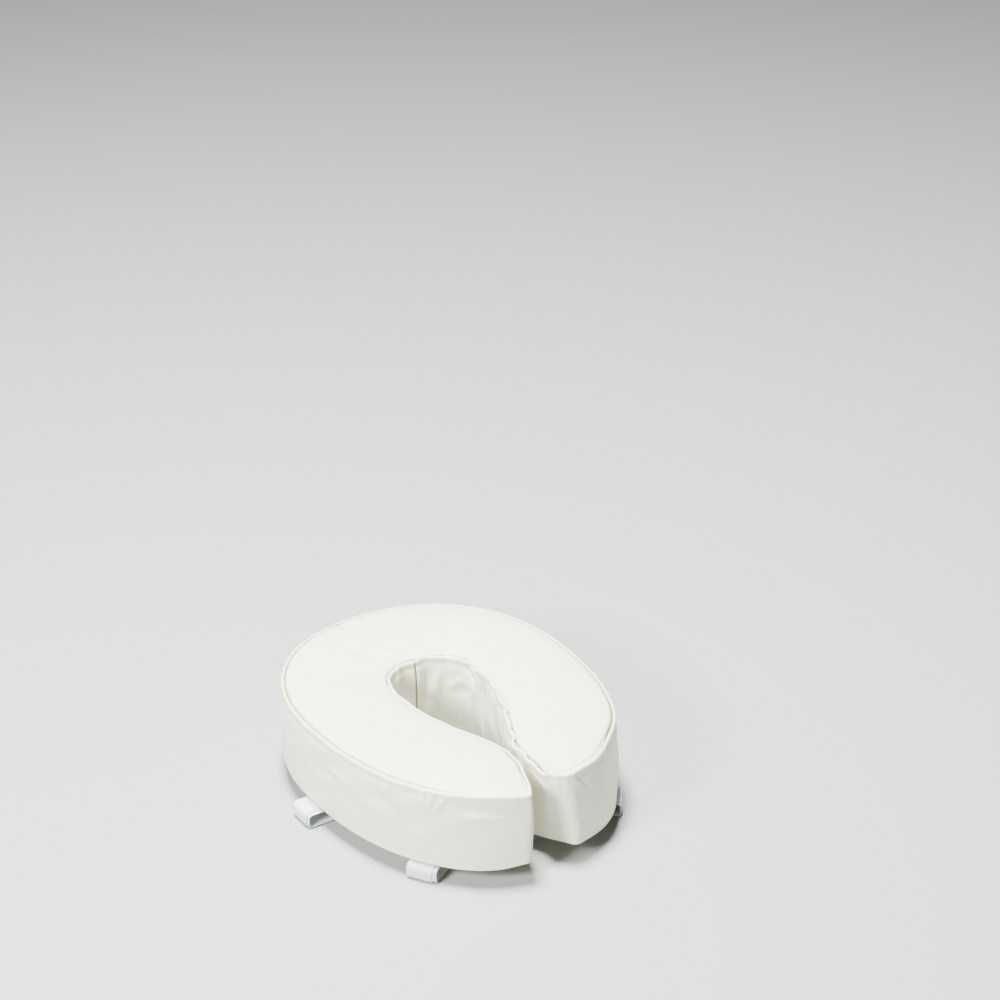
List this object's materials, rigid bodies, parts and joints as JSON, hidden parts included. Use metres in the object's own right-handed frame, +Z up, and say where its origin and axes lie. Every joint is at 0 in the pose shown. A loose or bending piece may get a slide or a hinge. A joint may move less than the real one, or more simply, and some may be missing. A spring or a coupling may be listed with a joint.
{
  "type": "raised toilet seat",
  "caption": "Thick horseshoe-shaped padded seat that raises a toilet seat, with a central hole, a front gap and hook-and-loop straps that go round the seat ring.",
  "frame": {"origin": "under the middle of the whole object, at the level of the lowest run of the closed strap loops, on which it stands", "axes": "+Z up, +Y towards the back of the seat, -Y towards the front gap, +X to the right of someone who looks along +Y"},
  "size_m": [0.3984, 0.453, 0.1223],
  "materials": {
    "off_white_vinyl": "satin vinyl with a fine grain",
    "cream_foam": "open-cell foam, matte",
    "pale_webbing": "woven webbing, matte",
    "pale_hook_tape": "hook tape, matte",
    "pale_loop_tape": "brushed loop tape, matte",
    "white_thread": "sewing thread, satin"
  },
  "bodies": {
    "cushion": {"foam_core": "cream_foam", "top_panel": "off_white_vinyl", "bottom_panel": "off_white_vinyl", "left_band": "off_white_vinyl", "right_band": "off_white_vinyl", "middle_left_strap_tab": "pale_webbing", "middle_left_strap_box_stitch": "white_thread", "middle_left_strap_patch": "pale_loop_tape", "middle_right_strap_tab": "pale_webbing", "middle_right_strap_box_stitch": "white_thread", "middle_right_strap_patch": "pale_loop_tape", "front_left_strap_tab": "pale_webbing", "front_left_strap_box_stitch": "white_thread", "front_left_strap_patch": "pale_loop_tape", "front_right_strap_tab": "pale_webbing", "front_right_strap_box_stitch": "white_thread", "front_right_strap_patch": "pale_loop_tape"},
    "middle_left_strap_top_run": {"middle_left_strap_top_run": "pale_webbing", "middle_left_strap_top_run_tape": "pale_hook_tape"},
    "middle_left_strap_outer_drop": {"middle_left_strap_outer_drop": "pale_webbing", "middle_left_strap_outer_drop_tape": "pale_hook_tape"},
    "middle_left_strap_under_run": {"middle_left_strap_under_run": "pale_webbing", "middle_left_strap_under_run_tape": "pale_hook_tape"},
    "middle_left_strap_inner_riser": {"middle_left_strap_inner_riser": "pale_webbing", "middle_left_strap_inner_riser_tape": "pale_hook_tape"},
    "middle_left_strap_flap": {"middle_left_strap_flap": "pale_webbing", "middle_left_strap_flap_tape": "pale_hook_tape"},
    "middle_right_strap_top_run": {"middle_right_strap_top_run": "pale_webbing", "middle_right_strap_top_run_tape": "pale_hook_tape"},
    "middle_right_strap_outer_drop": {"middle_right_strap_outer_drop": "pale_webbing", "middle_right_strap_outer_drop_tape": "pale_hook_tape"},
    "middle_right_strap_under_run": {"middle_right_strap_under_run": "pale_webbing", "middle_right_strap_under_run_tape": "pale_hook_tape"},
    "middle_right_strap_inner_riser": {"middle_right_strap_inner_riser": "pale_webbing", "middle_right_strap_inner_riser_tape": "pale_hook_tape"},
    "middle_right_strap_flap": {"middle_right_strap_flap": "pale_webbing", "middle_right_strap_flap_tape": "pale_hook_tape"},
    "front_left_strap_top_run": {"front_left_strap_top_run": "pale_webbing", "front_left_strap_top_run_tape": "pale_hook_tape"},
    "front_left_strap_outer_drop": {"front_left_strap_outer_drop": "pale_webbing", "front_left_strap_outer_drop_tape": "pale_hook_tape"},
    "front_left_strap_under_run": {"front_left_strap_under_run": "pale_webbing", "front_left_strap_under_run_tape": "pale_hook_tape"},
    "front_left_strap_inner_riser": {"front_left_strap_inner_riser": "pale_webbing", "front_left_strap_inner_riser_tape": "pale_hook_tape"},
    "front_left_strap_flap": {"front_left_strap_flap": "pale_webbing", "front_left_strap_flap_tape": "pale_hook_tape"},
    "front_right_strap_top_run": {"front_right_strap_top_run": "pale_webbing", "front_right_strap_top_run_tape": "pale_hook_tape"},
    "front_right_strap_outer_drop": {"front_right_strap_outer_drop": "pale_webbing", "front_right_strap_outer_drop_tape": "pale_hook_tape"},
    "front_right_strap_under_run": {"front_right_strap_under_run": "pale_webbing", "front_right_strap_under_run_tape": "pale_hook_tape"},
    "front_right_strap_inner_riser": {"front_right_strap_inner_riser": "pale_webbing", "front_right_strap_inner_riser_tape": "pale_hook_tape"},
    "front_right_strap_flap": {"front_right_strap_flap": "pale_webbing", "front_right_strap_flap_tape": "pale_hook_tape"}
  },
  "joints": [
    {"name": "middle_left_strap_open", "type": "hinge", "parent": "cushion", "child": "middle_left_strap_top_run", "pos_m": [-0.17391, 0.0181, 0.01875], "axis": [0.017, -0.9999, 0], "range_deg": [0, 50]},
    {"name": "middle_left_strap_fold_2", "type": "hinge", "parent": "middle_left_strap_top_run", "child": "middle_left_strap_outer_drop", "pos_m": [-0.19765, 0.0177, 0.01875], "axis": [0.017, -0.9999, 0], "range_deg": [-50, 0]},
    {"name": "middle_left_strap_fold_3", "type": "hinge", "parent": "middle_left_strap_outer_drop", "child": "middle_left_strap_under_run", "pos_m": [-0.19765, 0.0177, 0.00125], "axis": [0.017, -0.9999, 0], "range_deg": [-90, 0]},
    {"name": "middle_left_strap_fold_4", "type": "hinge", "parent": "middle_left_strap_under_run", "child": "middle_left_strap_inner_riser", "pos_m": [-0.12117, 0.019, 0.00125], "axis": [0.017, -0.9999, 0], "range_deg": [-90, 0]},
    {"name": "middle_left_strap_fold_5", "type": "hinge", "parent": "middle_left_strap_inner_riser", "child": "middle_left_strap_flap", "pos_m": [-0.12117, 0.019, 0.01745], "axis": [0.017, -0.9999, 0], "range_deg": [0, 90]},
    {"name": "middle_right_strap_open", "type": "hinge", "parent": "cushion", "child": "middle_right_strap_top_run", "pos_m": [0.17391, 0.0181, 0.01875], "axis": [0.017, 0.9999, 0], "range_deg": [0, 50]},
    {"name": "middle_right_strap_fold_2", "type": "hinge", "parent": "middle_right_strap_top_run", "child": "middle_right_strap_outer_drop", "pos_m": [0.19765, 0.0177, 0.01875], "axis": [0.017, 0.9999, 0], "range_deg": [-50, 0]},
    {"name": "middle_right_strap_fold_3", "type": "hinge", "parent": "middle_right_strap_outer_drop", "child": "middle_right_strap_under_run", "pos_m": [0.19765, 0.0177, 0.00125], "axis": [0.017, 0.9999, 0], "range_deg": [-90, 0]},
    {"name": "middle_right_strap_fold_4", "type": "hinge", "parent": "middle_right_strap_under_run", "child": "middle_right_strap_inner_riser", "pos_m": [0.12117, 0.019, 0.00125], "axis": [0.017, 0.9999, 0], "range_deg": [-90, 0]},
    {"name": "middle_right_strap_fold_5", "type": "hinge", "parent": "middle_right_strap_inner_riser", "child": "middle_right_strap_flap", "pos_m": [0.12117, 0.019, 0.01745], "axis": [0.017, 0.9999, 0], "range_deg": [0, 90]},
    {"name": "front_left_strap_open", "type": "hinge", "parent": "cushion", "child": "front_left_strap_top_run", "pos_m": [-0.1285, -0.15469, 0.01875], "axis": [0.551, -0.8345, 0], "range_deg": [0, 50]},
    {"name": "front_left_strap_fold_2", "type": "hinge", "parent": "front_left_strap_top_run", "child": "front_left_strap_outer_drop", "pos_m": [-0.13914, -0.16172, 0.01875], "axis": [0.551, -0.8345, 0], "range_deg": [-50, 0]},
    {"name": "front_left_strap_fold_3", "type": "hinge", "parent": "front_left_strap_outer_drop", "child": "front_left_strap_under_run", "pos_m": [-0.13914, -0.16172, 0.00125], "axis": [0.551, -0.8345, 0], "range_deg": [-90, 0]},
    {"name": "front_left_strap_fold_4", "type": "hinge", "parent": "front_left_strap_under_run", "child": "front_left_strap_inner_riser", "pos_m": [-0.0753, -0.11957, 0.00125], "axis": [0.551, -0.8345, 0], "range_deg": [-90, 0]},
    {"name": "front_left_strap_fold_5", "type": "hinge", "parent": "front_left_strap_inner_riser", "child": "front_left_strap_flap", "pos_m": [-0.0753, -0.11957, 0.01745], "axis": [0.551, -0.8345, 0], "range_deg": [0, 90]},
    {"name": "front_right_strap_open", "type": "hinge", "parent": "cushion", "child": "front_right_strap_top_run", "pos_m": [0.1285, -0.15469, 0.01875], "axis": [0.551, 0.8345, 0], "range_deg": [0, 50]},
    {"name": "front_right_strap_fold_2", "type": "hinge", "parent": "front_right_strap_top_run", "child": "front_right_strap_outer_drop", "pos_m": [0.13914, -0.16172, 0.01875], "axis": [0.551, 0.8345, 0], "range_deg": [-50, 0]},
    {"name": "front_right_strap_fold_3", "type": "hinge", "parent": "front_right_strap_outer_drop", "child": "front_right_strap_under_run", "pos_m": [0.13914, -0.16172, 0.00125], "axis": [0.551, 0.8345, 0], "range_deg": [-90, 0]},
    {"name": "front_right_strap_fold_4", "type": "hinge", "parent": "front_right_strap_under_run", "child": "front_right_strap_inner_riser", "pos_m": [0.0753, -0.11957, 0.00125], "axis": [0.551, 0.8345, 0], "range_deg": [-90, 0]},
    {"name": "front_right_strap_fold_5", "type": "hinge", "parent": "front_right_strap_inner_riser", "child": "front_right_strap_flap", "pos_m": [0.0753, -0.11957, 0.01745], "axis": [0.551, 0.8345, 0], "range_deg": [0, 90]}
  ],
  "couplings": [
    {"joint": "middle_left_strap_fold_2", "follows": "middle_left_strap_open", "ratio": -1},
    {"joint": "middle_left_strap_fold_3", "follows": "middle_left_strap_open", "ratio": -1.8},
    {"joint": "middle_left_strap_fold_4", "follows": "middle_left_strap_open", "ratio": -1.8},
    {"joint": "middle_left_strap_fold_5", "follows": "middle_left_strap_open", "ratio": 1.8},
    {"joint": "middle_right_strap_fold_2", "follows": "middle_right_strap_open", "ratio": -1},
    {"joint": "middle_right_strap_fold_3", "follows": "middle_right_strap_open", "ratio": -1.8},
    {"joint": "middle_right_strap_fold_4", "follows": "middle_right_strap_open", "ratio": -1.8},
    {"joint": "middle_right_strap_fold_5", "follows": "middle_right_strap_open", "ratio": 1.8},
    {"joint": "front_left_strap_fold_2", "follows": "front_left_strap_open", "ratio": -1},
    {"joint": "front_left_strap_fold_3", "follows": "front_left_strap_open", "ratio": -1.8},
    {"joint": "front_left_strap_fold_4", "follows": "front_left_strap_open", "ratio": -1.8},
    {"joint": "front_left_strap_fold_5", "follows": "front_left_strap_open", "ratio": 1.8},
    {"joint": "front_right_strap_fold_2", "follows": "front_right_strap_open", "ratio": -1},
    {"joint": "front_right_strap_fold_3", "follows": "front_right_strap_open", "ratio": -1.8},
    {"joint": "front_right_strap_fold_4", "follows": "front_right_strap_open", "ratio": -1.8},
    {"joint": "front_right_strap_fold_5", "follows": "front_right_strap_open", "ratio": 1.8}
  ]
}
